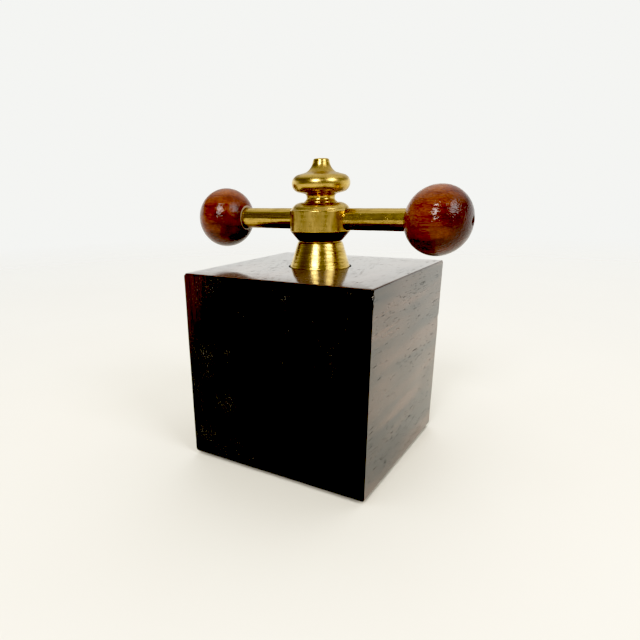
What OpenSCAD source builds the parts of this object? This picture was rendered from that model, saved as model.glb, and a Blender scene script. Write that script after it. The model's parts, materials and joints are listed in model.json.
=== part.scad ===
// Screw-clamp ink blotter: a square hardwood block with a turned brass handle on top.
// Turning the handle raises or lowers a sole plate in the underside of the block, and
// so clamps or frees the blotting paper that is wrapped round the plate.
// Millimetres. +Z is up, the arms lie along X, and the paper's face is at z = 0.

/* [Block] */
// Width and depth of the block
block_w = 65; // [60:0.5:80]
// Height of the wood alone
block_h = 64.5; // [60:0.5:80]
// How far the paper stands proud of the underside of the block
paper_proud = 0.5; // [0.2:0.1:1]
// Chamfer on the upright and top edges
edge_ease = 0.35; // [0.1:0.05:1]
// Radius of the four worn bottom edges
foot_r = 1.5; // [0.5:0.1:3]

/* [Ferrule] */
// Diameter of the ferrule's base
ferrule_base_d = 20; // [18:0.5:22]
// Diameter of the ferrule's top
ferrule_top_d = 14.7; // [13:0.1:17]
// Height of the ferrule above the block
ferrule_h = 8.1; // [6:0.1:12]
// Gap round the ferrule in its recess
recess_gap = 0.5; // [0.2:0.1:1]

/* [Handle] */
// Diameter of the hub
hub_d = 20; // [18:0.5:24]
// Top edge of the hub's drum above the block, where its shoulder starts
drum_top = 18.2; // [17.5:0.1:18.8]
// Height of the arms' axis above the block
arm_rise = 15.3; // [14.5:0.1:16]
// Diameter of the arms
arm_d = 6.8; // [5:0.1:7.2]
// Diameter of the balls, seen along the arms
ball_d = 20.5; // [20.1:0.1:24]
// Length of the balls along the arms, a little flattened
ball_len = 19.5; // [18:0.1:20]
// Distance from the spindle's axis to a ball's centre
ball_reach = 38.5; // [34:0.1:45]
// Diameter of the fine hole right through each ball
ball_hole_d = 2; // [1.5:0.1:3]

/* [Spindle] */
// Outside diameter of the clamp thread
spindle_d = 6; // [5:0.5:6]
// Pitch of the clamp thread
pitch = 1; // [0.8:0.05:1.25]

/* [Sole] */
// Inside width of the pocket in the underside
pocket_w = 56; // [50:0.5:57]
// Thickness of the sole plate
plate_t = 6; // [5:0.5:7]
// Thickness of the felt pad
felt_t = 2; // [1:0.5:3]
// Thickness of the blotting paper
paper_t = 0.5; // [0.3:0.1:0.6]
// Length of each paper end turned in over the plate
flap = 10; // [6:0.5:12]

/* [Hidden] */
$fn = 96;

rosewood = [0.13, 0.07, 0.05];
stained_wood = [0.42, 0.17, 0.06];
brass = [0.71, 0.58, 0.25];
steel = [0.62, 0.62, 0.64];
beech = [0.76, 0.58, 0.38];
felt = [0.16, 0.30, 0.20];
cream = [0.93, 0.90, 0.82];

eps = 0.01;          // overcut that keeps faces from coinciding
running = 0.05;      // radial and axial gap of a running fit
slip = 0.03;         // gap between parts that are assembled and stay put
guide_gap = 0.3;     // gap between the sole plate and the pocket's walls

// Levels, counted from the paper's face
block_bottom = paper_proud;
block_top = block_bottom + block_h;
felt_bottom = paper_t;
plate_bottom = felt_bottom + felt_t;
plate_top = plate_bottom + plate_t;
paper_top = plate_top + paper_t;
pocket_top = paper_top + slip;

// The ferrule: its seat in the wood, and the tail that a washer and nut pull on
web_t = 15;
web_bottom = block_top - web_t;
seat_depth = 1.2;
tail_d = 12;
tail_pitch = 1.75;
tail_hole_d = tail_d + 0.2;
wide_bore_d = 23;
washer_d = 20;
washer_t = 1.5;
nut_t = 5;
nut_across_flats = 18;
tail_end = web_bottom - washer_t - nut_t - 1.5;

// The stack on the spindle under the ferrule, and the ring's groove
lower_washer_d = 11.6;
lower_washer_t = 1;
ring_d = 11;
ring_t = 0.8;
ring_mouth = 3.6;
groove_d = 5;
ring_top = tail_end - running - lower_washer_t - slip;

// The spindle steps down where the hub sits on it
stud_d = 5;
tip_chamfer = 0.8;
spindle_end = plate_bottom + 0.7;
thread_end = ring_top - 8;
upper_washer_t = 0.3;
hub_bottom = block_top + ferrule_h + upper_washer_t + running;
spindle_step = hub_bottom + 4;
spindle_top = block_top + 25;
arm_z = block_top + arm_rise;
hub_end = block_top + drum_top + 2.37;   // where the shoulder meets the finial
shoulder_r = 5.95;
drum_h = 6.3;        // of the hub's full-width part

// The finial's arcs: radius and height of the centre above the hub's end, then arc radius
neck = [5.85, 1.43, 1.28];
bulb = [6.62, 5.75, 2.8];
hollow = [7, 12.9, 4.35];
lip = [1.9, 12.48, 0.7];
arm_socket = 5;      // how far from the axis a full-width arm ends
arm_tip_d = 4;       // the arm's screwed tip, which bears on the spindle
ball_socket = 9;     // depth of the socket in a ball
countersink = 1.2;   // round a ball's socket

// The sole: the paper wraps it along X, and Y is only guided
sole_x = pocket_w - 2;
sole_y = pocket_w - 2 * guide_gap;
nut_flange_d = 20;
nut_flange_t = 1.2;
nut_barrel_d = 10;
nut_screw_pcd = 14.5;
nut_screws = 3;
screw_d = 1.14;
screw_hole_d = 1.5;
screw_head_d = 3.1;
screw_head_h = 0.95;
screw_h = 4.6;

// Points along an arc in the plane of a profile, from angle a0 to a1
function arc(c, r, a0, a1, n = 16) =
    [for (i = [0:n]) let (a = a0 + (a1 - a0) * i / n) [c[0] + r * cos(a), c[1] + r * sin(a)]];

// A point turned about the origin
function turned(p, a) = [p[0] * cos(a) - p[1] * sin(a), p[0] * sin(a) + p[1] * cos(a)];

// Outline of a thread drawn as rings, upwards from z0
function rings(d, p, z0, z1) =
    [for (i = [0:floor((z1 - z0) / p) - 1]) each
        [[d / 2 - 0.3 * p, z0 + i * p], [d / 2, z0 + (i + 0.5) * p]]];

module bore(d, z0, z1) {
    translate([0, 0, z0]) cylinder(d = d, h = z1 - z0);
}

module ring_washer(outer, inner, z0, t) {
    difference() {
        bore(outer, z0, z0 + t);
        bore(inner, z0 - eps, z0 + t + eps);
    }
}

// Turns what is drawn along +X to the side that is asked for, -1 or 1
module on_side(side) {
    rotate([0, 0, side > 0 ? 0 : 180]) children();
}

// Lies along +X at the height of the arms
module along_arm(d, x0, x1) {
    translate([x0, 0, arm_z]) rotate([0, 90, 0]) cylinder(d = d, h = x1 - x0);
}

// Upright outline of the block: crisp at the top, rounded at the foot
module block_outline() {
    half = block_w / 2;
    foot_z = block_bottom + foot_r;
    polygon(concat(
        arc([foot_r - half, foot_z], foot_r, 180, 270, 8),
        arc([half - foot_r, foot_z], foot_r, 270, 360, 8),
        [[half, block_top - edge_ease], [half - edge_ease, block_top],
         [edge_ease - half, block_top], [-half, block_top - edge_ease]]));
}

// Plan of the block: a square with its four corners taken off
module block_plan() {
    half = block_w / 2;
    polygon([for (q = [0:3]) each [
        turned([half, half - edge_ease], 90 * q), turned([half - edge_ease, half], 90 * q)]]);
}

module block_stock() {
    intersection() {
        rotate([90, 0, 0]) linear_extrude(block_w, center = true) block_outline();
        rotate([90, 0, 90]) linear_extrude(block_w, center = true) block_outline();
        linear_extrude(block_top + 1) block_plan();
    }
}

module block() {
    color(rosewood) difference() {
        block_stock();
        translate([0, 0, (pocket_top + block_bottom) / 2 - eps])
            cube([pocket_w, pocket_w, pocket_top - block_bottom + 2 * eps], center = true);
        bore(wide_bore_d, block_bottom, web_bottom);
        bore(tail_hole_d, web_bottom - eps, block_top);
        bore(ferrule_base_d + 2 * recess_gap, block_top - seat_depth, block_top + eps);
    }
}

module ferrule() {
    seat = block_top - seat_depth;
    tail_start = tail_end + floor((web_bottom - 1 - tail_end) / tail_pitch) * tail_pitch;
    color(brass) rotate_extrude() polygon(concat(
        [[spindle_d / 2 + running, tail_end]],
        rings(tail_d, tail_pitch, tail_end, web_bottom - 1),
        [[tail_d / 2 - 0.3 * tail_pitch, tail_start], [tail_d / 2, tail_start + 0.6],
         [tail_d / 2, seat], [ferrule_base_d / 2 - 0.2, seat],
         [ferrule_base_d / 2, seat + 0.2], [ferrule_base_d / 2, block_top],
         [ferrule_top_d / 2 + 0.12, block_top + ferrule_h - 0.25],
         [ferrule_top_d / 2 - 0.15, block_top + ferrule_h],
         [spindle_d / 2 + running, block_top + ferrule_h]]));
}

module ferrule_washer() {
    color(steel) ring_washer(washer_d, tail_hole_d, web_bottom - washer_t, washer_t);
}

module ferrule_nut() {
    z0 = web_bottom - washer_t - nut_t;
    color(steel) difference() {
        translate([0, 0, z0]) cylinder(d = nut_across_flats / cos(30), h = nut_t, $fn = 6);
        bore(tail_d + 2 * slip, z0 - eps, z0 + nut_t + eps);
    }
}

module upper_thrust_washer() {
    color(brass) ring_washer(ferrule_top_d - 1.4, spindle_d + 0.3,
        block_top + ferrule_h, upper_washer_t);
}

module lower_thrust_washer() {
    z0 = tail_end - running - lower_washer_t;
    color(brass) ring_washer(lower_washer_d, spindle_d + 0.2, z0, lower_washer_t);
}

module retaining_ring() {
    color(steel) difference() {
        ring_washer(ring_d, groove_d + 0.1, ring_top - ring_t, ring_t);
        translate([-ring_mouth / 2, 0, ring_top - 2 * ring_t])
            cube([ring_mouth, ring_d, 3 * ring_t]);
    }
}

module spindle() {
    r = spindle_d / 2;
    groove_r = groove_d / 2;
    stud_r = stud_d / 2;
    thread_start = spindle_end + tip_chamfer;
    thread_top = thread_start + floor((thread_end - thread_start) / pitch) * pitch;
    color(steel) rotate_extrude() polygon(concat(
        [[0, spindle_end], [r - tip_chamfer, spindle_end]],
        rings(spindle_d, pitch, thread_start, thread_end),
        [[r - 0.3 * pitch, thread_top], [r, thread_top + 0.6],
         [r, ring_top - ring_t - slip], [groove_r, ring_top - ring_t - slip],
         [groove_r, ring_top + slip], [r, ring_top + slip],
         [r, spindle_step], [stud_r, spindle_step],
         [stud_r, spindle_top - 0.5], [stud_r - 0.5, spindle_top], [0, spindle_top]]));
}

module hub() {
    r = hub_d / 2;
    edge = block_top + drum_top;
    color(brass) difference() {
        rotate_extrude() polygon(concat(
            [[spindle_d / 2 + slip, hub_bottom], [ferrule_top_d / 2, hub_bottom]],
            arc([r - 0.8, edge - drum_h], 0.8, -38, 0, 6),
            arc([r - 0.25, edge - 0.25], 0.25, 0, 60, 4),
            arc([r - 3.85, edge - 1.4], 3.75, 28, 84, 12),
            [[shoulder_r, hub_end], [spindle_d / 2 + slip, hub_end]]));
        bore(spindle_d + 2 * slip, hub_bottom - eps, spindle_step);
        bore(stud_d + 2 * slip, spindle_step - eps, hub_end + eps);
        for (side = [-1, 1]) on_side(side) {
            along_arm(arm_tip_d + 2 * slip, 0, arm_socket + eps);
            along_arm(arm_d + 2 * slip, arm_socket, r + 1);
        }
    }
}

// Neck, bulb and hollow-sided tip, each an arc
module finial() {
    z0 = hub_end + slip;
    at = [0, hub_end];
    color(brass) difference() {
        rotate_extrude() polygon(concat(
            [[0, z0], [shoulder_r - 0.55, z0]],
            arc(at + [neck[0], neck[1]], neck[2], 248, 120, 16),
            arc(at + [bulb[0], bulb[1]], bulb[2], -80, 76, 24),
            arc(at + [hollow[0], hollow[1]], hollow[2], 240, 188, 16),
            arc(at + [lip[0], lip[1]], lip[2], 0, 90, 6),
            [at + [0, lip[1] + lip[2]]]));
        bore(stud_d + 2 * slip, z0 - eps, spindle_top + 0.5);
    }
}

// A rod with a screwed tip at the hub and a chamfered end in the ball
module arm() {
    tip = stud_d / 2 + slip;
    start = arm_socket + slip;
    end = ball_reach - ball_len / 2 + ball_socket - 0.3;
    r = arm_d / 2;
    color(brass) translate([0, 0, arm_z]) rotate([0, 90, 0]) rotate_extrude() polygon([
        [0, tip], [arm_tip_d / 2 - 0.4, tip], [arm_tip_d / 2, tip + 0.4],
        [arm_tip_d / 2, start], [r, start], [r, end - 0.4], [r - 0.4, end], [0, end]]);
}

// A bead turned to an arc whose centre is a little off the arm's axis
module bead() {
    r = ball_d / 2;
    half = ball_len / 2;
    off = (r * r - half * half) / (2 * r);
    translate([ball_reach, 0, arm_z]) rotate([0, 90, 0]) rotate_extrude() polygon(concat(
        [[0, -half]], arc([off, 0], r - off, -90, 90, 60), [[0, half]]));
}

module ball() {
    inner = ball_reach - ball_len / 2;
    outer = ball_reach + ball_len / 2;
    hole = arm_d / 2 + slip;
    color(stained_wood) difference() {
        bead();
        along_arm(2 * hole, inner - 1, inner + ball_socket);
        translate([inner - 0.1, 0, arm_z]) rotate([0, 90, 0])
            cylinder(r1 = hole + countersink, r2 = hole, h = countersink);
        along_arm(ball_hole_d, ball_reach - 2, outer + 1);
        translate([outer - 0.35, 0, arm_z]) rotate([0, 90, 0])
            cylinder(r1 = ball_hole_d / 2, r2 = ball_hole_d / 2 + 0.5, h = 0.5);
    }
}

module left_arm() on_side(-1) arm();
module right_arm() on_side(1) arm();
module left_ball() on_side(-1) ball();
module right_ball() on_side(1) ball();

module sole_plate() {
    color(beech) difference() {
        translate([-sole_x / 2, -sole_y / 2, plate_bottom]) cube([sole_x, sole_y, plate_t]);
        bore(nut_barrel_d + 2 * slip, plate_bottom - eps, plate_top + eps);
        bore(nut_flange_d + 2 * slip, plate_bottom - eps, plate_bottom + nut_flange_t);
        each_nut_screw() bore(screw_d + 2 * slip, plate_bottom, plate_bottom + screw_h + 0.2);
    }
}

// The countersunk part of a screw or of its hole, wide end down
module screw_cone(d1, d2, z0, h) {
    translate([0, 0, z0]) cylinder(d1 = d1, d2 = d2, h = h);
}

module each_nut_screw() {
    for (i = [0:nut_screws - 1])
        rotate([0, 0, 360 / nut_screws * i + 90]) translate([nut_screw_pcd / 2, 0, 0]) children();
}

module sole_nut() {
    color(brass) difference() {
        union() {
            bore(nut_flange_d, plate_bottom, plate_bottom + nut_flange_t - slip);
            bore(nut_barrel_d, plate_bottom, plate_top);
        }
        bore(spindle_d + 2 * running, plate_bottom - eps, plate_top + eps);
        each_nut_screw() {
            screw_cone(screw_head_d + 0.2, screw_hole_d, plate_bottom - eps, screw_head_h + 0.05);
            bore(screw_hole_d, plate_bottom, plate_bottom + nut_flange_t);
        }
    }
}

module sole_nut_screws() {
    color(steel) each_nut_screw() difference() {
        union() {
            screw_cone(screw_head_d, screw_d, plate_bottom, screw_head_h);
            bore(screw_d, plate_bottom + screw_head_h - eps, plate_bottom + screw_h);
        }
        translate([0, 0, plate_bottom + 0.1]) cube([4, 0.45, 0.5], center = true);
    }
}

module felt_pad() {
    color(felt) translate([-sole_x / 2, -sole_y / 2, felt_bottom])
        cube([sole_x, sole_y, felt_t]);
}

// One sheet: across the underside, up both sides of the plate and in over its top
module blotting_paper() {
    half = sole_x / 2;
    outer = half + paper_t;
    color(cream) rotate([90, 0, 0]) linear_extrude(sole_y, center = true) polygon([
        [-outer, 0], [outer, 0], [outer, paper_top], [half - flap, paper_top],
        [half - flap, plate_top], [half, plate_top], [half, felt_bottom],
        [-half, felt_bottom], [-half, plate_top], [flap - half, plate_top],
        [flap - half, paper_top], [-outer, paper_top]]);
}

block();
ferrule();
ferrule_washer();
ferrule_nut();
upper_thrust_washer();
lower_thrust_washer();
retaining_ring();
spindle();
hub();
finial();
left_arm();
right_arm();
left_ball();
right_ball();
sole_plate();
sole_nut();
sole_nut_screws();
felt_pad();
blotting_paper();
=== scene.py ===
"""Screw-clamp ink blotter: a hardwood block with a turned brass T-handle and two wooden balls.

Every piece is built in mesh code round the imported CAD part. Sizes inside the functions are
in millimetres, in the CAD's frame: +Z up, +X along the right arm, z = 0 on the table.
"""
import json
import math

import bmesh
import bpy
import numpy as np
from mathutils import Matrix, Vector, noise

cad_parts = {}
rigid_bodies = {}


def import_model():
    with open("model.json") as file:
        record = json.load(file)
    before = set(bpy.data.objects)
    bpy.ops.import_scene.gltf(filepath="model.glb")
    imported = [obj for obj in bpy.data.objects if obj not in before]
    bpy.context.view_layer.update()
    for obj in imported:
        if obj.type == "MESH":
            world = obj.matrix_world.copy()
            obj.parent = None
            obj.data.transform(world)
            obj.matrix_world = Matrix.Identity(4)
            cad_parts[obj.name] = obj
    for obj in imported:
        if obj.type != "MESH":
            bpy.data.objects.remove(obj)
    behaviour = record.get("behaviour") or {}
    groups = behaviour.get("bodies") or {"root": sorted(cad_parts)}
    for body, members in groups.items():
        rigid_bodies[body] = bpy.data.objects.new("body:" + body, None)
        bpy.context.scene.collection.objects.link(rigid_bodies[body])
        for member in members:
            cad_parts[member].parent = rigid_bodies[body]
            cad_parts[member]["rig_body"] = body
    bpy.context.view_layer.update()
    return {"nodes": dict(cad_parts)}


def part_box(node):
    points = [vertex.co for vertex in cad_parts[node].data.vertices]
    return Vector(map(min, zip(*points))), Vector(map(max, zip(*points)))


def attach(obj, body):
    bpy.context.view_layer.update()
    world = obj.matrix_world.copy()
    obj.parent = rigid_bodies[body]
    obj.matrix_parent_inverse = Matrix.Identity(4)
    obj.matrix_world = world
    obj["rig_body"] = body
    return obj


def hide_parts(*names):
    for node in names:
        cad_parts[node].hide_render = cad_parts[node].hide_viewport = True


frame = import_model()
MM = 0.001


def box_mm(node):
    """The lowest and highest corners of a CAD node, in millimetres."""
    low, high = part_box(node)
    return low / MM, high / MM


# ---------------------------------------------------------------- mesh helpers

def make_object(name, verts, faces, sharp=35):
    """A mesh object from vertices in millimetres, smooth except at edges over the sharp angle."""
    mesh = bpy.data.meshes.new(name)
    mesh.from_pydata([tuple(v) for v in np.asarray(verts) * MM], [], faces)
    bm = bmesh.new()
    bm.from_mesh(mesh)
    bmesh.ops.remove_doubles(bm, verts=bm.verts, dist=1e-7)
    bmesh.ops.recalc_face_normals(bm, faces=bm.faces)
    bm.to_mesh(mesh)
    bm.free()
    mesh.polygons.foreach_set("use_smooth", [True] * len(mesh.polygons))
    mesh.set_sharp_from_angle(angle=math.radians(sharp))
    obj = bpy.data.objects.new(name, mesh)
    bpy.context.scene.collection.objects.link(obj)
    return obj


def skin(rings, loop_end=True):
    """Quads between successive rings of points; loop_end joins the last ring to the first."""
    rings = np.asarray(rings, float)
    count, around = rings.shape[:2]
    faces = []
    for i in range(count if loop_end else count - 1):
        a, b = i * around, ((i + 1) % count) * around
        faces += [(a + j, a + (j + 1) % around, b + (j + 1) % around, b + j) for j in range(around)]
    return rings.reshape(-1, 3), faces


def arc(cx, cy, r, a0, a1, n=12):
    """Points along an arc of an outline, from angle a0 to a1 in degrees."""
    return [(cx + r * math.cos(math.radians(a0 + (a1 - a0) * i / n)),
             cy + r * math.sin(math.radians(a0 + (a1 - a0) * i / n))) for i in range(n + 1)]


def refine(outline, step):
    """The same outline with points at most step apart."""
    points = []
    for p, q in zip(outline, outline[1:] + outline[:1]):
        n = max(1, math.ceil(math.dist(p, q) / step))
        points += [(p[0] + (q[0] - p[0]) * i / n, p[1] + (q[1] - p[1]) * i / n) for i in range(n)]
    return points


def lathe(name, outline, step=0.4, steps=144, relief=None, axis="Z"):
    """A turned piece from a closed outline of (radius, height) points.

    relief(radius, height, angle) gives the change of radius, such as tool marks or a thread.
    With axis "X" the heights run along +X, and with "-X" along -X, at the arms' height.
    """
    profile = np.array(refine(outline, step))
    angle = np.linspace(0, 2 * math.pi, steps, endpoint=False)
    radius = np.repeat(profile[:, :1], steps, axis=1)
    height = np.repeat(profile[:, 1:], steps, axis=1)
    turn = np.tile(angle, (len(profile), 1))
    if relief:
        radius = radius + relief(radius, height, turn)
    across, depth = radius * np.cos(turn), radius * np.sin(turn)
    if axis == "Z":
        return make_object(name, *skin(np.stack([across, depth, height], -1)))
    side = -1 if axis == "-X" else 1
    return make_object(name, *skin(np.stack([side * height, side * across, depth + ARM_Z], -1)))


def tool_marks(depth, pitch, seed, lowest, highest):
    """Fine rings left by the turning tool between two heights, as a relief for lathe()."""
    beat, beat_share, wobble = 0.37, 0.6, 0.25
    widest_bore = 3.2

    def relief(radius, height, turn):
        phase = height / pitch + seed
        slow_phase = phase * beat + seed * 1.7
        rings = np.sin(2 * math.pi * phase) + beat_share * np.sin(2 * math.pi * slow_phase)
        run_out = wobble * np.sin(turn * 2 + height * 3)
        inside = (height > lowest) & (height < highest) & (radius > widest_bore)
        return np.where(inside, depth * (rings + run_out), 0)
    return relief


def thread(pitch, depth, low, high, crest):
    """A right-hand helical thread cut into the part of a rod between two heights."""
    flank, root_flat = 2.3, 0.08
    lead_in = 0.3
    near_crest = 0.02

    def relief(radius, height, turn):
        phase = (height / pitch - turn / (2 * math.pi)) % 1.0
        cut = depth * (1 - np.clip(flank * np.abs(phase - 0.5) - root_flat, 0, 1))
        fade_in = np.clip((height - low) / pitch + lead_in, 0, 1)
        fade = np.clip((high - height) / pitch, 0, 1) * fade_in
        return np.where(np.abs(radius - crest) < near_crest, -cut * fade, 0)
    return relief


def cut_with(obj, cutter):
    """Takes the cutter's solid out of obj and removes the cutter."""
    mod = obj.modifiers.new("cut", "BOOLEAN")
    mod.operation, mod.solver, mod.object = "DIFFERENCE", "EXACT", cutter
    graph = bpy.context.evaluated_depsgraph_get()
    mesh = bpy.data.meshes.new_from_object(obj.evaluated_get(graph))
    obj.modifiers.remove(mod)
    obj.data = mesh
    bpy.data.objects.remove(cutter)


# ---------------------------------------------------------------- material helpers

class Nodes:
    """Short calls for building one material's node tree."""

    def __init__(self, name):
        self.material = bpy.data.materials.new(name)
        self.material.use_nodes = True
        self.tree = self.material.node_tree
        self.shader = self.tree.nodes["Principled BSDF"]

    def add(self, kind, inputs=(), **settings):
        """A new node, with its inputs fed and its settings made."""
        node = self.tree.nodes.new(kind)
        for key, value in settings.items():
            setattr(node, key, value)
        for key, value in dict(inputs).items():
            self.feed(node.inputs[key], value)
        return node

    def feed(self, socket, value):
        """Links a socket to another one, or sets its value."""
        if isinstance(value, bpy.types.NodeSocket):
            self.tree.links.new(value, socket)
        else:
            socket.default_value = value

    def place(self, stretch=(1, 1, 1), shift=(0, 0, 0)):
        """Coordinates in millimetres in the object's frame, divided by stretch."""
        coords = self.add("ShaderNodeTexCoord").outputs["Object"]
        scale = tuple(1 / MM / s for s in stretch)
        inputs = {"Vector": coords, "Scale": scale, "Location": shift}
        return self.add("ShaderNodeMapping", inputs).outputs[0]

    def split(self, vector):
        """The X, Y and Z outputs of a vector."""
        return self.add("ShaderNodeSeparateXYZ", {"Vector": vector}).outputs

    def facing(self):
        """The X, Y and Z outputs of the surface's own direction, in the object's frame."""
        return self.split(self.add("ShaderNodeTexCoord").outputs["Normal"])

    def noise(self, vector, detail=3.0, roughness=0.55, distortion=0.0):
        """Noise between 0 and 1, one unit of the vector to a lump."""
        inputs = {"Vector": vector, "Scale": 1.0, "Detail": detail, "Roughness": roughness,
                  "Distortion": distortion}
        return self.add("ShaderNodeTexNoise", inputs).outputs["Fac"]

    def ramp(self, fac, *stops):
        """stops are (position, value or colour) pairs."""
        node = self.add("ShaderNodeValToRGB", {"Fac": fac})
        elements = node.color_ramp.elements
        while len(elements) < len(stops):
            elements.new(0.5)
        for element, (position, colour) in zip(elements, stops):
            element.position = position
            rgb = (colour,) * 3 if isinstance(colour, (int, float)) else colour
            element.color = (*rgb, 1)
        return node.outputs["Color"]

    def math(self, operation, a, b=0.0):
        """One sum, of sockets or numbers."""
        node = self.add("ShaderNodeMath", operation=operation)
        self.feed(node.inputs[0], a)
        self.feed(node.inputs[1], b)
        return node.outputs[0]

    def mix(self, fac, a, b):
        """Colour a where fac is 0, and colour b where it is 1."""
        node = self.add("ShaderNodeMix", data_type="RGBA")
        self.feed(node.inputs["Factor"], fac)
        for key, value in (("A", a), ("B", b)):
            socket = next(s for s in node.inputs if s.name == key and s.type == "RGBA")
            self.feed(socket, value if isinstance(value, bpy.types.NodeSocket) else (*value, 1))
        return next(s for s in node.outputs if s.type == "RGBA")

    def bump(self, height, distance, strength=1.0, normal=None):
        """A bump of the given distance in millimetres, on top of an earlier normal."""
        inputs = {"Height": height, "Distance": distance * MM, "Strength": strength}
        if normal:
            inputs["Normal"] = normal
        return self.add("ShaderNodeBump", inputs).outputs["Normal"]

    def finish(self, **inputs):
        """Feeds the shader, with _ for a blank in a socket's name, and returns the material."""
        for key, value in inputs.items():
            self.feed(self.shader.inputs[key.replace("_", " ")], value)
        return self.material


# ---------------------------------------------------------------- materials

def rosewood():
    """Near-black wood with its grain along Y, open pores and a worn French polish."""
    n = Nodes("rosewood")
    rubbed, pore_black, bare = (0.140, 0.0790, 0.0550), (0.002, 0.0015, 0.0015), (0.62, 0.56, 0.50)
    facing = n.facing()
    endwise = n.math("ABSOLUTE", facing["Y"])
    end_cut = n.ramp(endwise, (0.15, 0.0), (0.45, 1.0))
    upper = n.ramp(facing["Z"], (0.5, 0.0), (0.9, 1.0))
    pits = open_pores(n, upper)
    colour = n.mix(end_cut, long_grain_colour(n), end_grain_colour(n))
    colour = n.mix(n.math("MULTIPLY", upper, 0.45), colour, rubbed)
    colour = n.mix(red_corner(n), colour, red_grain(n))
    colour = n.mix(pits, colour, pore_black)
    colour = n.mix(chipped(n), colour, bare)
    waves = n.noise(n.place((9, 14, 9)), detail=2)
    rubbing = n.noise(n.place((0.6, 9, 0.6)), detail=3)
    cloud = n.noise(n.place((10, 26, 8), (7, 3, 1)), detail=4)
    rough = n.math("ADD", n.ramp(cloud, (0.3, 0.06), (0.75, 0.16)), n.math("MULTIPLY", pits, 0.9))
    normal = n.bump(waves, 0.09, 0.4)
    normal = n.bump(rubbing, 0.014, 0.5, normal)
    normal = n.bump(pits, -0.05, 0.7, normal)
    gloss = n.ramp(endwise, (0.15, 0.56), (0.45, 0.30))
    gloss = n.math("SUBTRACT", gloss, n.math("MULTIPLY", upper, 0.12))
    return n.finish(Base_Color=colour, Roughness=rough, Normal=normal, IOR=1.5,
                    Specular_IOR_Level=gloss)


def long_grain_colour(n):
    """Grey-brown streaks that run with the grain."""
    dark, brown, warm = (0.028, 0.0290, 0.0280), (0.064, 0.0480, 0.0390), (0.118, 0.0740, 0.0550)
    figure = n.noise(n.place((13, 75, 8)), detail=4, roughness=0.5, distortion=0.4)
    streak = n.noise(n.place((1.2, 60, 0.9), (4, 0, 2)), detail=4)
    tone = n.math("ADD", n.math("MULTIPLY", figure, 0.9), n.math("MULTIPLY", streak, 0.1))
    return n.ramp(tone, (0.40, dark), (0.50, brown), (0.62, warm))


def open_pores(n, upper):
    """A mask for short pores along the grain, in drifts, with more of them on the upper face."""
    pores = n.noise(n.place((0.18, 4.5, 0.18)), detail=0)
    drifts = n.noise(n.place((9, 30, 7), (9, 9, 9)), detail=1)
    closed = n.math("SUBTRACT", n.math("MULTIPLY", drifts, 0.25), n.math("MULTIPLY", upper, 0.018))
    return n.ramp(n.math("ADD", pores, closed), (0.325, 0.9), (0.370, 0.0))


def end_grain_colour(n):
    """Black end grain with small clusters of paler specks, most of them on the front face."""
    black, pale = (0.0016, 0.0010, 0.0008), (0.092, 0.087, 0.080)
    axes = n.split(n.place())
    front = n.ramp(n.math("DIVIDE", axes["Y"], -HALF), (0.0, 0.12), (0.5, 1.0))
    specks = n.noise(n.place((0.35, 3, 0.5), (2, 0, 1)), detail=1)
    clusters = n.noise(n.place((9, 50, 11), (1, 0, 6)), detail=2)
    clusters = n.math("SUBTRACT", clusters, n.math("MULTIPLY", axes["X"], 0.0024))
    shown = n.math("MULTIPLY", n.ramp(specks, (0.59, 0.0), (0.69, 1.0)),
                   n.ramp(clusters, (0.47, 0.0), (0.66, 1.0)))
    return n.mix(n.math("MULTIPLY", shown, front), black, pale)


def red_grain(n):
    """Streaky red-brown of the sapwood side, its streaks upright on the block's faces."""
    deep, light = (0.020, 0.0060, 0.0040), (0.064, 0.0190, 0.0120)
    streaks = n.noise(n.place((0.7, 60, 9), (0, 5, 0)), detail=4)
    return n.ramp(streaks, (0.36, deep), (0.62, light))


def red_corner(n):
    """A mask for the redder wood along the block's upper left edge, ragged by the grain."""
    reach, fall, raggedness = 22.0, 0.42, 6.0
    axes = n.split(n.place())
    across = n.math("ADD", axes["X"], HALF)
    down = n.math("MULTIPLY", n.math("SUBTRACT", TOP, axes["Z"]), fall)
    ragged = n.math("MULTIPLY", n.noise(n.place((2.5, 60, 4)), detail=3), raggedness)
    depth = n.math("ADD", n.math("ADD", across, down), ragged)
    return n.ramp(n.math("DIVIDE", depth, reach), (0.25, 0.9), (0.78, 0.0))


def chipped(n):
    """A mask for the two spots of bare wood on the near upright edge."""
    nearest = None
    for drop, size in zip(EDGE_CHIPS, (0.92, 0.68)):
        inputs = {0: n.place(), 1: (HALF, -HALF, TOP - drop)}
        away = n.add("ShaderNodeVectorMath", inputs, operation="DISTANCE").outputs["Value"]
        away = n.math("DIVIDE", away, size)
        nearest = away if nearest is None else n.math("MINIMUM", nearest, away)
    raggedness = n.math("MULTIPLY", n.noise(n.place((0.3, 0.3, 0.3)), detail=2), 0.6)
    return n.ramp(n.math("ADD", nearest, raggedness), (0.80, 1.0), (0.98, 0.0))


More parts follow.
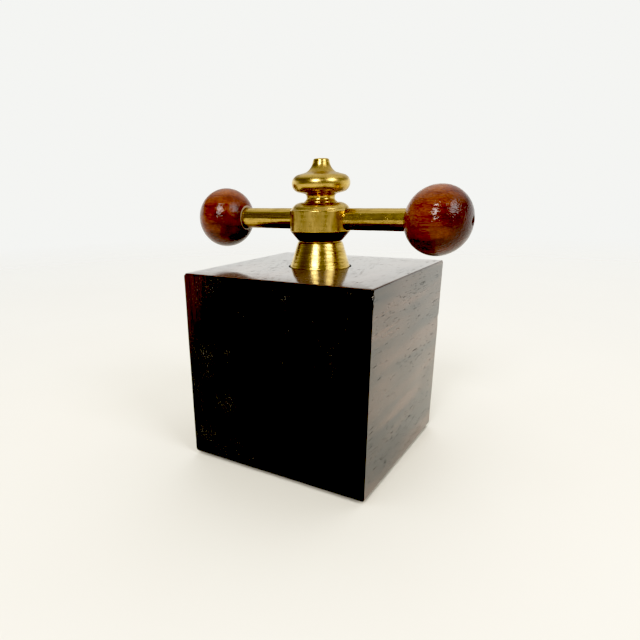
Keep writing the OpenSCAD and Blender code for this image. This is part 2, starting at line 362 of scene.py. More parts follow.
def ball_lacquer():
    """Red-brown wood under an uneven gloss lacquer, its grain and the bored hole along X."""
    n = Nodes("ball_lacquer")
    deep, red, amber = (0.050, 0.0080, 0.0035), (0.145, 0.0270, 0.0080), (0.270, 0.0800, 0.0160)
    # the last colour is the pale socket rim: worn lacquer, and painted light over the countersink's
    # shade
    line, soaked, bare = (0.055, 0.0080, 0.0030), (0.038, 0.0075, 0.0045), (0.42, 0.33, 0.24)
    axes = n.split(n.place())
    cloud = n.noise(n.place((7, 4, 4), (6, 1, 0)), detail=3)
    fine = n.noise(n.place((2.6, 0.26, 0.26)), detail=2)
    hair = n.noise(n.place((1.1, 0.12, 0.12), (3, 1, 7)), detail=2)
    rings = n.math("MULTIPLY", year_rings(n, axes), 0.26)
    tone = n.math("ADD", rings, n.math("MULTIPLY", cloud, 0.44))
    tone = n.math("ADD", tone, n.math("MULTIPLY", fine, 0.30))
    # painted light and shade: lighter towards each ball's upper left, darker opposite
    tone = n.math("ADD", tone, painted_light_side(n, axes))
    colour = n.ramp(tone, (0.39, deep), (0.51, red), (0.65, amber))
    colour = n.mix(n.ramp(hair, (0.36, 0.5), (0.48, 0.0)), colour, line)
    colour = n.mix(end_grain(n, axes), colour, soaked)
    # pale socket rim: partly worn lacquer, partly painted light over the countersink's shade
    colour = n.mix(worn_and_lit_rim(n, axes), colour, bare)
    peel = n.noise(n.place((2.0, 0.50, 0.50)), detail=1)
    normal = n.bump(peel, 0.16, 0.9)
    normal = n.bump(hair, 0.030, 0.7, normal)
    worn = n.math("ADD", n.math("MULTIPLY", fine, 0.5), n.math("MULTIPLY", cloud, 0.5))
    rough = n.ramp(worn, (0.35, 0.18), (0.65, 0.10))
    return n.finish(Base_Color=colour, Roughness=rough, Normal=normal, IOR=1.48)


def year_rings(n, axes):
    """Tone of the year rings, which curve about a heart well below and in front of the balls."""
    heart_drop, heart_depth, ring = 26, 9.0, 3.1
    rise = n.math("SUBTRACT", axes["Z"], ARM_Z - heart_drop)
    depth = n.math("ADD", axes["Y"], heart_depth)
    squared = n.math("ADD", n.math("MULTIPLY", rise, rise), n.math("MULTIPLY", depth, depth))
    reach = n.math("SQRT", squared)
    drift = n.noise(n.place((14, 6, 6), (1, 4, 2)), detail=3)
    year = n.math("ADD", n.math("DIVIDE", reach, ring), n.math("MULTIPLY", drift, 2.2))
    return n.ramp(n.math("FRACT", year), (0.0, 0.58), (0.75, 0.52), (0.90, 0.28), (1.0, 0.56))


def painted_light_side(n, axes):
    """Painted light: a lighter tone towards the upper left of either ball, where the light falls,
    and painted shade opposite.
    """
    per_mm_up, per_mm_left = 0.0090, 0.007
    x, z = axes["X"], n.math("SUBTRACT", axes["Z"], ARM_Z)
    own_x = n.math("SUBTRACT", x, n.math("MULTIPLY", n.math("SIGN", x), BALL_X))
    own_x = n.math("MULTIPLY", own_x, per_mm_left)
    return n.math("SUBTRACT", n.math("MULTIPLY", z, per_mm_up), own_x)


def worn_and_lit_rim(n, axes):
    """A mask for the pale ring round the arm's socket: lacquer worn through, and painted light that
    lifts the shade in the countersink.
    """
    unit, strength = 10.0, 0.85
    y, z = axes["Y"], n.math("SUBTRACT", axes["Z"], ARM_Z)
    out = n.math("SQRT", n.math("ADD", n.math("MULTIPLY", y, y), n.math("MULTIPLY", z, z)))
    inner = n.math("SUBTRACT", BALL_X, n.math("ABSOLUTE", axes["X"]))
    near = n.ramp(n.math("DIVIDE", inner, unit), (0.5, 0.0), (0.6, 1.0))
    ring = n.ramp(n.math("DIVIDE", out, unit), (0.405, 1.0), (0.435, 0.0))
    return n.math("MULTIPLY", n.math("MULTIPLY", near, strength), ring)


def end_grain(n, axes):
    """A mask that rises towards the outer pole of either ball, where the stain soaks in."""
    depth, raggedness = 14.0, 5.0
    out = n.math("SUBTRACT", n.math("ABSOLUTE", axes["X"]), BALL_X)
    ragged = n.math("MULTIPLY", n.noise(n.place((3, 2, 2)), detail=4), raggedness)
    return n.ramp(n.math("DIVIDE", n.math("ADD", out, ragged), depth), (0.42, 0.0), (0.80, 0.85))


def brass(name, along, around, tarnish, polish, grooves=0.012, blots=(5, 5, 4), spread=0.3,
          underside_shade=0.9):
    """Turned or drawn brass, worked round an axis.

    along gives the grooves' length along X, Y and Z, and grooves their depth. tarnish and polish
    are the share of stain and the roughness, blots the stains' size, spread the gloss smeared
    across the grooves, and grime how much painted shade darkens the faces that look down.
    """
    n = Nodes(name)
    bright, deep = (0.68, 0.475, 0.160), (0.52, 0.350, 0.105)
    dull, duller = (0.36, 0.23, 0.055), (0.17, 0.10, 0.030)
    # the second colour here is painted shade, for the faces that look down
    spot, painted_shade = (0.10, 0.06, 0.03), (0.085, 0.030, 0.010)
    patches = n.noise(n.place(blots, (tarnish * 9, 2, 5)), detail=6, roughness=0.65, distortion=0.5)
    streaks = n.noise(n.place(along), detail=3)
    specks = n.noise(n.place((0.45, 0.45, 0.45)), detail=2)
    clean = n.ramp(streaks, (0.3, deep), (0.7, bright))
    stained = n.mix(n.ramp(specks, (0.45, 0.0), (0.7, 1.0)), dull, duller)
    stain = n.math("MULTIPLY", n.ramp(patches, (0.46, 0.0), (0.66, 1.0)), tarnish)
    dots = n.ramp(specks, (0.70, 0.0), (0.76, 0.7))
    colour = n.mix(dots, n.mix(stain, clean, stained), spot)
    # painted shade: faces that look down are darkened as if shaded and mirroring the dark block
    # below
    colour = n.mix(n.math("MULTIPLY", underside(n), underside_shade), colour, painted_shade)
    rough = n.math("ADD", n.ramp(streaks, (0.3, polish * 0.8), (0.7, polish * 1.15)),
                   n.math("MULTIPLY", stain, 0.15))
    normal = n.bump(patches, 0.02, 0.5)
    normal = n.bump(streaks, grooves, 0.8, normal)
    normal = n.bump(dots, -0.03, 0.6, normal)
    tangent = n.add("ShaderNodeTangent", direction_type="RADIAL", axis=around).outputs[0]
    across_grooves = 0.25 if around == "Z" else 0.0
    return n.finish(Base_Color=colour, Metallic=1.0, Roughness=rough, Normal=normal,
                    Tangent=tangent, Anisotropic=spread, Anisotropic_Rotation=across_grooves)


def underside(n):
    """A mask for faces that look down, for painted shade that stands in for shadow and for the dark
    block mirrored in them.
    """
    ragged = n.math("MULTIPLY", n.noise(n.place((1.5, 1.5, 1.5), (8, 8, 8)), detail=3), 0.3)
    down = n.math("SUBTRACT", n.math("ADD", ragged, 0.15), n.facing()["Z"])
    return n.ramp(down, (0.62, 0.0), (1.0, 1.0))


def steel(name, tint, polish):
    """Turned steel with an oil-stained, faintly ringed surface."""
    n = Nodes(name)
    oily = tuple(0.45 * c for c in tint)
    rings = n.noise(n.place((30, 30, 0.25)), detail=3)
    cloud = n.noise(n.place((4, 4, 6)), detail=5)
    colour = n.mix(n.ramp(cloud, (0.4, 0.0), (0.75, 0.8)), tint, oily)
    rough = n.ramp(cloud, (0.3, polish), (0.8, polish + 0.2))
    return n.finish(Base_Color=colour, Metallic=1.0, Roughness=rough,
                    Normal=n.bump(rings, 0.01, 0.7))


def beech():
    """Bare planed beech with short dark flecks along Y."""
    n = Nodes("beech")
    late, early, fleck = (0.46, 0.27, 0.13), (0.62, 0.41, 0.23), (0.22, 0.10, 0.045)
    figure = n.noise(n.place((3, 40, 2.2)), detail=4, distortion=0.4)
    flecks = n.noise(n.place((0.25, 1.8, 0.25)), detail=1)
    colour = n.ramp(figure, (0.3, late), (0.7, early))
    colour = n.mix(n.ramp(flecks, (0.66, 0.0), (0.72, 0.8)), colour, fleck)
    return n.finish(Base_Color=colour, Roughness=n.ramp(figure, (0.3, 0.55), (0.7, 0.68)),
                    Normal=n.bump(flecks, 0.04, 0.5))


def felt():
    """Pressed wool felt: tangled short fibres with a soft sheen."""
    n = Nodes("felt")
    deep, light = (0.018, 0.052, 0.030), (0.055, 0.125, 0.075)
    fibres = n.noise(n.place((0.16, 0.5, 0.3)), detail=5, distortion=1.5)
    crossing = n.noise(n.place((0.5, 0.16, 0.3), (3, 3, 3)), detail=5, distortion=1.5)
    tangle = n.math("MAXIMUM", fibres, crossing)
    return n.finish(Base_Color=n.ramp(tangle, (0.4, deep), (0.75, light)),
                    Roughness=n.ramp(tangle, (0.3, 0.95), (0.8, 0.82)),
                    Normal=n.bump(tangle, 0.15, 0.8), Sheen_Weight=0.4)


def blotting_paper():
    """Thick soft paper: matt, fibrous, a little grey where it has been handled."""
    n = Nodes("blotting_paper")
    buff, cream, handled = (0.66, 0.60, 0.48), (0.80, 0.755, 0.64), (0.50, 0.47, 0.41)
    pulp = n.noise(n.place((0.35, 0.5, 0.35)), detail=6, roughness=0.7, distortion=0.8)
    cloud = n.noise(n.place((12, 9, 12)), detail=4)
    colour = n.ramp(pulp, (0.35, buff), (0.65, cream))
    colour = n.mix(n.ramp(cloud, (0.45, 0.0), (0.8, 0.45)), colour, handled)
    return n.finish(Base_Color=colour, Roughness=n.ramp(pulp, (0.3, 0.97), (0.7, 0.88)),
                    Normal=n.bump(pulp, 0.05, 0.7))


def table_top():
    """Pale, faintly mottled surface that fades out into the room far from the object."""
    n = Nodes("table_top")
    darker, paler, fade_out = (0.82, 0.768, 0.665), (0.84, 0.793, 0.690), 900.0
    cloud = n.noise(n.place((140, 140, 140)), detail=3)
    grain = n.noise(n.place((0.8, 0.8, 0.8)), detail=4)
    material = n.finish(Base_Color=n.ramp(cloud, (0.3, darker), (0.7, paler)),
                        Roughness=n.ramp(grain, (0.3, 0.6), (0.7, 0.75)),
                        Normal=n.bump(grain, 0.02, 0.3))
    away = n.add("ShaderNodeVectorMath", {0: n.place()}, operation="LENGTH").outputs["Value"]
    fade = n.ramp(n.math("DIVIDE", away, fade_out), (0.10, 0.0), (0.30, 0.35), (1.0, 1.0))
    clear = n.add("ShaderNodeBsdfTransparent").outputs[0]
    blend = n.add("ShaderNodeMixShader", {0: fade, 1: n.shader.outputs[0], 2: clear})
    n.tree.links.new(blend.outputs[0], n.tree.nodes["Material Output"].inputs["Surface"])
    return material


# ---------------------------------------------------------------- driving sizes, from the frame

BLOCK_LOW, BLOCK_HIGH = box_mm("block")
TOP = BLOCK_HIGH.z
HALF = BLOCK_HIGH.x
ARM_Z = sum(p.z for p in box_mm("left_ball")) / 2
ARM_R = (box_mm("left_arm")[1].z - box_mm("left_arm")[0].z) / 2
FERRULE_LOW, FERRULE_HIGH = box_mm("ferrule")
HUB_LOW, HUB_HIGH = box_mm("hub")
SEAT = TOP - 1.2            # floor of the recess that the ferrule sits in
SHOULDER = HUB_LOW.z + 4    # where the spindle steps down inside the hub
BALL_X = 38.5               # from the handle's axis to either ball's middle
BALL_HALF = 9.75            # half a ball's length along its arm
SLIP = 0.03                 # gap between two pieces that fit one in the other
EDGE_CHIPS = (2.3, 4.6)     # depths below the top of the chips in the near upright edge
SIDES = {-1: ("left", "-X"), 1: ("right", "X")}    # name and direction of either arm


# ---------------------------------------------------------------- the block

def square_ring(half, corner, z, side=46, bend=6):
    """Points round a square with rounded corners, the same count for every size."""
    straight = half - corner
    points = []
    for quarter in range(4):
        run = [(half, straight * math.sin(math.pi / 2 * (2 * i / side - 1)))
               for i in range(side + 1)]
        turn = [(straight + corner * math.cos(a), straight + corner * math.sin(a))
                for a in np.linspace(0, math.pi / 2, bend + 1)[1:-1]]
        c, s = math.cos(quarter * math.pi / 2), math.sin(quarter * math.pi / 2)
        points += [(x * c - y * s, x * s + y * c, z) for x, y in run + turn]
    return np.array(points)


def round_ring(radius, z):
    """A circle with one point for each point of a square ring."""
    square = square_ring(1.0, 0.05, 0)
    angle = np.arctan2(square[:, 1], square[:, 0])
    return np.stack([radius * np.cos(angle), radius * np.sin(angle), np.full(len(angle), z)], -1)


def blend_rings(a, b, n):
    """Rings between a and b, without b."""
    return [a + (b - a) * i / n for i in range(n)]


def wear(points):
    """Small unevenness of a hand-finished block, and chips in three of its upright edges."""
    level_to, fall_width, fall, top_zone = 22, 10.5, 0.2, 3
    sides_from, edge_width = HALF - 1, 0.6
    swell, inward, dent = 0.06, 0.05, 0.05
    swell_length, dent_length, chip_gain = 17, 2.1, 1.4
    chips = [(HALF, -HALF, TOP - EDGE_CHIPS[0], 0.8, 0.26),
             (HALF, -HALF, TOP - EDGE_CHIPS[1], 0.65, 0.2),
             (-HALF, -HALF, TOP, 0.8, 0.2), (HALF, HALF, TOP - 21, 1.2, 0.2)]
    worn = points.copy()
    for i, p in enumerate(points):
        out = np.array(Vector((p[0], p[1], 0)).normalized()[:2])
        reach = max(abs(p[0]), abs(p[1]))
        crown = np.clip((reach - level_to) / fall_width, 0, 1) ** 2
        worn[i, 2] -= fall * (crown * np.clip((p[2] - TOP + top_zone) / top_zone, 0, 1))
        if reach > sides_from:
            drift = noise.noise(Vector(p) / swell_length) * swell - inward
            dented = dent if abs(abs(p[0]) - abs(p[1])) < edge_width else 0
            drift -= dented * max(0, noise.noise(Vector(p) / dent_length + Vector((5, 0, 0))))
            worn[i, :2] += out * drift
        for x, y, z, size, depth in chips:
            away = math.dist(p, (x, y, z)) / size
            if away < 1:
                worn[i, :2] -= out * depth * (1 - away * away) * chip_gain
    return worn


def block():
    """Outside, recess, bores and pocket of the block as one skin of rings."""
    low, foot, ease = BLOCK_LOW.z, 1.5, 0.45
    corner = ease * 0.9
    recess, lead = FERRULE_HIGH.x + 0.5, 0.15
    tail, bore, web = 6.1, 11.5, TOP - 15
    pocket, pocket_corner, ceiling = 28.0, 0.5, box_mm("blotting_paper")[1].z + SLIP
    fine, fine_end = 0.3, TOP - 7
    rings = [round_ring(recess, SEAT), round_ring(recess, TOP - lead),
             round_ring(recess + lead, TOP)]
    edge = [square_ring(HALF - ease + x, max(0.02, corner + x), TOP - ease + z)
            for x, z in arc(0, 0, ease, 90, 0, 6)]
    rings += blend_rings(rings[-1], edge[0], 40)[1:] + edge
    heights = [*np.arange(TOP - ease - fine, fine_end, -fine),
               *np.linspace(fine_end, low + foot, 50)]
    rings += [square_ring(HALF, corner, z) for z in heights]
    rings += [square_ring(HALF - foot + x, corner, low + foot + z)
              for x, z in arc(0, 0, foot, 0, -90, 9)[1:]]
    mouth = square_ring(pocket, pocket_corner, low)
    rings += blend_rings(rings[-1], mouth, 3)[1:]
    rings += [mouth, square_ring(pocket, pocket_corner, ceiling)]
    rings += [round_ring(radius, z)
              for radius, z in ((bore, ceiling), (bore, web), (tail, web), (tail, SEAT))]
    verts, faces = skin(rings)
    return make_object("block_wood", wear(verts), faces, sharp=40)


# ---------------------------------------------------------------- the handle and ferrule

def ferrule():
    """Tapered collar in its recess, with a threaded tail through the wood."""
    low, base, top_z = FERRULE_LOW.z, FERRULE_HIGH.x, FERRULE_HIGH.z
    bore, tail_r, neck = 3.05, 6.0, 7.35
    outline = [(bore, low), (tail_r - 0.5, low), (tail_r, low + 0.5), (tail_r, SEAT),
               (base - 0.2, SEAT), (base, SEAT + 0.2), (base, TOP), (neck + 0.12, top_z - 0.25),
               (neck - 0.02, top_z - 0.1), (neck - 0.15, top_z), (bore, top_z)]
    marks = tool_marks(depth=0.012, pitch=0.42, seed=0.3, lowest=TOP, highest=top_z - 0.1)
    tail = thread(pitch=1.75, depth=0.52, low=low, high=TOP - 16, crest=tail_r)

    def relief(radius, height, turn):
        return marks(radius, height, turn) + tail(radius, height, turn)
    return lathe("ferrule_brass", outline, 0.1, 168, relief)


def hub():
    """Drum with a chamfered foot and a rounded shoulder, bored for the spindle and both arms."""
    r, low, high = HUB_HIGH.x, HUB_LOW.z, HUB_HIGH.z
    bore, stud_hole, land = 3.03, 2.53, 5.95
    edge = high - 2.37
    chamfer_top = arc(r - 0.8, edge - 6.3, 0.8, -38, 0, 6)
    rim = arc(r - 0.25, edge - 0.25, 0.25, 0, 60, 4)
    dome = arc(r - 3.85, edge - 1.4, 3.75, 28, 84, 16)
    outline = [(bore, low), (7.2, low), (7.35, low + 0.12), *chamfer_top, *rim, *dome, (land, high),
               (stud_hole, high), (stud_hole, SHOULDER), (bore, SHOULDER)]
    marks = tool_marks(depth=0.006, pitch=0.55, seed=0.8, lowest=low + 0.2, highest=high - 0.1)
    drum = lathe("hub_brass", outline, 0.2, 160, marks)
    pin, wide = 2.03, ARM_R + 2 * SLIP
    start, step_at, outside = 0.5, 5, 12
    socket = [(0, start), (pin, start), (pin, step_at), (wide, step_at), (wide, outside),
              (0, outside)]
    for axis in ("X", "-X"):
        cut_with(drum, lathe("cutter", socket, 1.0, 128, axis=axis))
    drum.data.set_sharp_from_angle(angle=math.radians(35))
    return drum


def finial():
    """Neck, bulb and hollow-sided tip, with a blind hole for the spindle's stud."""
    low, high = (p.z for p in box_mm("finial"))
    hole, hole_top, base = 2.53, low + 5, low - SLIP
    neck = arc(5.85, base + 1.43, 1.28, 248, 120, 18)
    bulb = arc(6.62, base + 5.75, 2.8, -80, 76, 30)
    hollow = arc(7.0, base + 12.9, 4.35, 240, 188, 18)
    tip = arc(1.9, base + 12.48, 0.7, 0, 90, 8)
    outline = [(hole, low), (5.3, low), (5.4, low + 0.08), *neck, *bulb, *hollow, *tip,
               (0, high), (0, hole_top), (hole, hole_top)]
    marks = tool_marks(depth=0.0015, pitch=0.5, seed=0.1, lowest=low, highest=high - 0.3)
    return lathe("finial_brass", outline, 0.16, 160, marks)


def arm(side):
    """Drawn rod, stepped where it is pressed into the hub, chamfered in the ball."""
    name, axis = SIDES[side]
    low, high = box_mm(name + "_arm")
    r, far = (high.z - low.z) / 2, max(abs(low.x), abs(high.x))
    pin, pin_end, step_at, chamfer = 2.0, 2.53, 5.03, 0.4
    flats, twist, inward = 20, 0.05, 0.018
    outline = [(0, pin_end), (pin - chamfer, pin_end), (pin, pin_end + chamfer), (pin, step_at),
               (r, step_at), (r, far - chamfer), (r - chamfer, far), (0, far)]

    def relief(radius, height, turn):
        dent = 0.012 * np.sin(turn * 3 + height * 0.7 + side) + 0.008 * np.sin(height * 1.9 + side)
        drawn_flats = 0.016 * np.sin(turn * flats + twist * height)
        return np.where(radius > r - 0.1, dent + drawn_flats - inward, 0)
    return lathe(name + "_arm_brass", outline, 0.5, 96, relief, axis)


def ball(side):
    """Turned wooden bead: a countersunk socket for the arm and a fine hole on through."""
    name, axis = SIDES[side]
    low, high = box_mm(name + "_ball")
    widest = (high.z - low.z) / 2
    off = (widest ** 2 - BALL_HALF ** 2) / (2 * widest)
    r = widest - off
    socket, mouth_r, hole, rim = ARM_R + SLIP, ARM_R + 0.62, 1.0, 1.45
    mouth = math.degrees(math.asin((mouth_r - off) / r))
    outer = math.degrees(math.asin((rim - off) / r))
    surface = [(y, BALL_X + x) for x, y in arc(0, off, r, 180 - mouth, outer, 96)]
    lip = BALL_X - r * math.cos(math.radians(mouth))
    bottom, pole = BALL_X - BALL_HALF + 9, surface[-1][1]
    countersink = [(socket, lip + 0.25), (socket + 0.12, lip + 0.1), (mouth_r - 0.12, lip + 0.02)]
    hole_edge = [(1.25, pole - 0.12), (1.05, pole - 0.32), (hole, pole - 0.6)]
    outline = [(socket, bottom), *countersink, *surface, *hole_edge, (hole, bottom)]
    plain_to, grow_over, lump_height, inward = 4.2, 3, 0.02, 0.04

    def relief(radius, height, turn):
        lump = np.sin(turn * 2 + 1.3 * side) + np.sin(height * 0.55 + turn + side)
        grown = np.clip((radius - plain_to) / grow_over, 0, 1)
        return np.where(radius > plain_to, (lump * lump_height - inward) * grown, 0)
    return lathe(name + "_ball_wood", outline, 0.5, 144, relief, axis)


def spindle():
    """Rod with a true helical clamp thread, a ring groove and a stepped top end."""
    low, high = box_mm("spindle")
    ring_low, ring_high = (p.z for p in box_mm("retaining_ring"))
    rod, stud = 3.0, 2.5
    start, end = low.z + 0.8, ring_high - 8
    groove_low, groove_high = ring_low - SLIP, ring_high + SLIP
    outline = [(0, low.z), (2.2, low.z), (rod, start), (rod, end), (rod, groove_low),
               (stud, groove_low), (stud, groove_high), (rod, groove_high), (rod, SHOULDER),
               (stud, SHOULDER), (stud, high.z - 0.5), (2.0, high.z), (0, high.z)]
    clamp = thread(pitch=1.0, depth=0.32, low=start, high=end, crest=rod)
    return lathe("spindle_steel", outline, 0.12, 72, clamp)


# ---------------------------------------------------------------- the sole

def felt_pad():
    """Soft-edged pad with an uneven, fibrous surface."""
    low, high = box_mm("felt_pad")
    r, insets, fuzz, level_from = 0.5, (26.5, 20, 13, 6, 2), 0.03, 26
    bottom = [felt_ring(high, inset, low.z) for inset in insets]
    sides = [felt_ring(high, r - x, (low.z + r if z < 0 else high.z - r) + z)
             for x, z in arc(0, 0, r, -90, 90, 8)]
    top = [felt_ring(high, inset, high.z) for inset in insets[::-1]]
    verts, faces = skin(bottom + sides + top, loop_end=False)
    around = len(top[0])
    faces += [tuple(range(around))[::-1], tuple(range(len(verts) - around, len(verts)))]
    for v in verts:
        v[2] += fuzz * noise.noise(Vector(v) / 1.3) * (1 if abs(v[0]) < level_from else 0)
    return make_object("felt_pad_soft", verts, faces, sharp=80)


def felt_ring(high, inset, z):
    """One outline of the pad, drawn in by inset from its highest corner."""
    corner, smallest = 0.6, 0.05
    ring = square_ring(high.x - inset, max(smallest, corner - inset), z)
    ring[:, 1] *= (high.y - inset) / (high.x - inset)
    return ring


def folded_paper():
    """One sheet across the underside, up both sides of the plate and in over its top."""
    low, high = box_mm("blotting_paper")
    t, flap, bend = 0.5, 10.0, 0.45
    mid_low, mid_high, mid_x = low.z + t / 2, high.z - t / 2, high.x - t / 2
    lower_fold = arc(mid_x - bend, mid_low + bend, bend, -90, 0, 6)[1:]
    upper_fold = arc(mid_x - bend, mid_high - bend, bend, 0, 90, 6)
    half = [(0, mid_low), (mid_x - bend, mid_low), *lower_fold, *upper_fold,
            (high.x - t - flap, mid_high)]
    line = refine([(-x, z) for x, z in half[::-1]] + half[1:], 0.7)
    # refine() goes on to the first point again, and the sheet stops at the right flap's end
    flap_span = (10, mid_x - 8)
    last = max(i for i, (x, z) in enumerate(line)
               if flap_span[0] < x < flap_span[1] and z > mid_high - 0.01)
    return thicken("folded_paper", line[:last + 1], high.y, t)


def thicken(name, line, across, t):
    """A sheet of thickness t that follows a line in XZ, with slightly frayed ends."""
    rows, fray_depth = 40, 0.06
    line = np.array(line)
    along = np.gradient(line, axis=0)
    along /= np.linalg.norm(along, axis=1)[:, None]
    normal = np.stack([-along[:, 1], along[:, 0]], -1)
    upper, lower = line + normal * t / 2, line - normal * t / 2
    loop = np.concatenate([upper, lower[::-1]])
    rings = []
    for row, y in enumerate(np.linspace(-across, across, rows)):
        at_end = row in (0, rows - 1)
        fray = [fray_depth * noise.noise(Vector((x / 2, z / 2, row))) if at_end else 0
                for x, z in line]
        depth = np.array([y - np.sign(y) * abs(f) for f in fray + fray[::-1]])
        rings.append(np.stack([loop[:, 0], depth, loop[:, 1]], -1))
    verts, faces = skin(rings, loop_end=False)
    count, n = len(line) * 2, len(line)
    for start, order in ((0, 1), (len(verts) - count, -1)):
        faces += [(start + i, start + i + 1, start + count - 2 - i, start + count - 1 - i)[::order]
                  for i in range(n - 1)]
    return make_object(name, verts, faces, sharp=50)


# ---------------------------------------------------------------- putting it together

def add_piece(obj, node, material):
    """Gives a piece its material, and puts it on the body of the node that it stands for."""
    obj.data.materials.clear()
    obj.data.materials.append(material)
    obj.data.polygons.foreach_set("material_index", [0] * len(obj.data.polygons))
    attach(obj, frame["nodes"][node]["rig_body"])
    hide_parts(node)
    return obj


def paint_node(node, material):
    """Gives a CAD node that stays as it is its material."""
    slots = frame["nodes"][node].material_slots
    if not slots:
        frame["nodes"][node].data.materials.append(material)
    for s in slots:
        s.material = material


LATHE_RINGS = (30, 30, 0.16)
turned = brass("turned_brass", LATHE_RINGS, "Z", tarnish=0.60, polish=0.23, grooves=0.04,
               blots=(7, 7, 1.2))
drum_brass = brass("drum_brass", (1.3, 1.3, 5.0), "Z", tarnish=0.6, polish=0.28, grooves=0.02,
                   blots=(3, 3, 6))
# the finial takes less of the painted underside shade
finial_brass = brass("finial_brass", LATHE_RINGS, "Z", tarnish=0.7, polish=0.27, grooves=0.006,
                     blots=(6, 6, 4), spread=0.2, underside_shade=0.35)
drawn = brass("drawn_brass", (12, 0.55, 0.55), "X", tarnish=0.45, polish=0.24, grooves=0.09,
              blots=(3, 2, 2), spread=0.15)
washer = brass("washer_brass", (30, 30, 0.5), "Z", tarnish=0.9, polish=0.34)
plated = steel("plated_steel", (0.50, 0.50, 0.47), polish=0.34)
lacquer = ball_lacquer()

add_piece(block(), "block", rosewood())
add_piece(ferrule(), "ferrule", turned)
add_piece(hub(), "hub", drum_brass)
add_piece(finial(), "finial", finial_brass)
for side, (side_name, _) in SIDES.items():
    add_piece(arm(side), side_name + "_arm", drawn)
    add_piece(ball(side), side_name + "_ball", lacquer)
bright_steel = steel("bright_steel", (0.56, 0.56, 0.57), polish=0.22)
add_piece(spindle(), "spindle", bright_steel)
pad = add_piece(felt_pad(), "felt_pad", felt())
paper = add_piece(folded_paper(), "blotting_paper", blotting_paper())

for node_name in ("upper_thrust_washer", "lower_thrust_washer"):
    paint_node(node_name, washer)
for node_name in ("ferrule_washer", "ferrule_nut", "sole_nut_screws"):
    paint_node(node_name, plated)
paint_node("retaining_ring", steel("ring_steel", (0.40, 0.40, 0.42), polish=0.3))
paint_node("sole_nut", turned)
paint_node("sole_plate", beech())


# ---------------------------------------------------------------- room, light and camera

def table():
    """A wide flat floor under the object."""
    bm = bmesh.new()
    bmesh.ops.create_circle(bm, cap_ends=True, segments=96, radius=6.0)
    mesh = bpy.data.meshes.new("table")
    bm.to_mesh(mesh)
    bm.free()
    obj = bpy.data.objects.new("table", mesh)
    bpy.context.scene.collection.objects.link(obj)
    obj.data.materials.append(table_top())


def room():
    """Pale surroundings: a bright backdrop, a dimmer ceiling, and dark where the viewer stands."""
    ambient, seen_level = 0.16, 1.25
    up, down, behind, high_window = (0, 0, 1), (0, 0, -1), (-0.2, 0.98, 0), (-0.1, 0.45, 0.89)
    world = bpy.data.worlds.new("room")
    world.use_nodes = True
    tree = world.node_tree
    background = tree.nodes["Background"]
    background.inputs["Color"].default_value = (0.90, 0.91, 0.875, 1)
    coords = tree.nodes.new("ShaderNodeTexCoord").outputs["Generated"]

    def level(towards, low, high, start, end):
        """A smooth step from start to end as the direction turns towards a point of the room."""
        facing = tree.nodes.new("ShaderNodeVectorMath")
        facing.operation = "DOT_PRODUCT"
        facing.inputs[1].default_value = Vector(towards).normalized()
        step = tree.nodes.new("ShaderNodeMapRange")
        step.interpolation_type = "SMOOTHSTEP"
        limits = {"From Min": low, "From Max": high, "To Min": start, "To Max": end}
        for key, value in limits.items():
            step.inputs[key].default_value = value
        tree.links.new(coords, facing.inputs[0])
        tree.links.new(facing.outputs["Value"], step.inputs["Value"])
        return step.outputs["Result"]

    def combine(operation, a, b):
        """Two levels, or a level and a number, put together."""
        node = tree.nodes.new("ShaderNodeMath")
        node.operation = operation
        tree.links.new(a, node.inputs[0])
        if isinstance(b, float):
            node.inputs[1].default_value = b
        else:
            tree.links.new(b, node.inputs[1])
        return node.outputs[0]

    backdrop = combine("MULTIPLY", level(behind, -0.45, 0.45, 0, 1.5), level(up, 0.16, 0.38, 1, 0))
    backdrop = combine("MULTIPLY", backdrop, level(up, 0.09, 0.17, 0.84, 1))
    strength = combine("ADD", backdrop, ambient)
    strength = combine("MAXIMUM", strength, level(high_window, 0.50, 0.85, 0, 1.0))
    strength = combine("MAXIMUM", strength, level(down, 0.0, 0.12, 0, 0.95))
    path = tree.nodes.new("ShaderNodeLightPath")
    seen = tree.nodes.new("ShaderNodeMix")
    seen.inputs["B"].default_value = seen_level
    tree.links.new(path.outputs["Is Camera Ray"], seen.inputs["Factor"])
    tree.links.new(strength, seen.inputs["A"])
    tree.links.new(seen.outputs["Result"], background.inputs["Strength"])
    bpy.context.scene.world = world


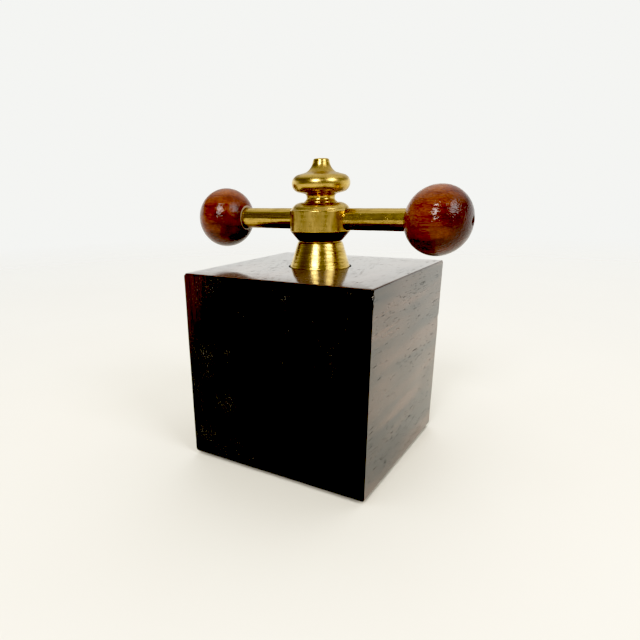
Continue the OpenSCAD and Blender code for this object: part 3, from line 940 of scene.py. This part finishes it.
def softbox(name, azimuth, elevation, distance, width, power, mirrored=True):
    """A square light that faces the handle. Azimuth 0 is towards -Y and 90 towards +X."""
    a, e = math.radians(azimuth), math.radians(elevation)
    towards = Vector((math.sin(a) * math.cos(e), -math.cos(a) * math.cos(e), math.sin(e)))
    data = bpy.data.lights.new(name, "AREA")
    data.shape, data.size, data.energy = "SQUARE", width, power
    obj = bpy.data.objects.new(name, data)
    obj.location = Vector((0, 0, ARM_Z * MM)) + towards * distance
    obj.rotation_euler = towards.to_track_quat("Z", "Y").to_euler()
    obj.visible_glossy = mirrored
    bpy.context.scene.collection.objects.link(obj)


def camera():
    """Close view from the front right, with the frame shifted as the photograph's is."""
    data = bpy.data.cameras.new("camera")
    data.sensor_width, data.lens = 36, 29.23875
    data.shift_x, data.shift_y = 0.0808, 0.0793
    data.clip_start, data.clip_end = 0.01, 50
    obj = bpy.data.objects.new("camera", data)
    right = Vector((0.83919, 0.54347, -0.02014))
    up = Vector((-0.16311, 0.28684, 0.94399))
    back = right.cross(up)
    obj.matrix_world = Matrix((right, up, back)).transposed().to_4x4()
    obj.location = Vector((82.52, -158.68, 89.78)) * MM
    bpy.context.scene.collection.objects.link(obj)
    bpy.context.scene.camera = obj


def tone_curve():
    """The photograph's contrast: deep blacks, with the middle tones lifted."""
    view = bpy.context.scene.view_settings
    view.view_transform = "Standard"
    view.use_curve_mapping = True
    curves = view.curve_mapping
    curves.black_level, curves.white_level = (0.05,) * 3, (1.35,) * 3
    for darker, lighter in ((0.19, 0.26), (0.42, 0.55), (0.65, 0.78), (0.885, 0.94)):
        curves.curves[3].points.new(darker, lighter)
    curves.update()


table()
room()
softbox("front_light", azimuth=5, elevation=33, distance=2.0, width=0.52, power=24)
softbox("side_light", azimuth=76, elevation=36, distance=2.0, width=0.9, power=19)
softbox("window_light", azimuth=180, elevation=48, distance=1.6, width=1.8, power=12,
        mirrored=False)
softbox("upper_left_light", azimuth=-38, elevation=55, distance=2.0, width=1.4, power=10,
        mirrored=False)
camera()
tone_curve()
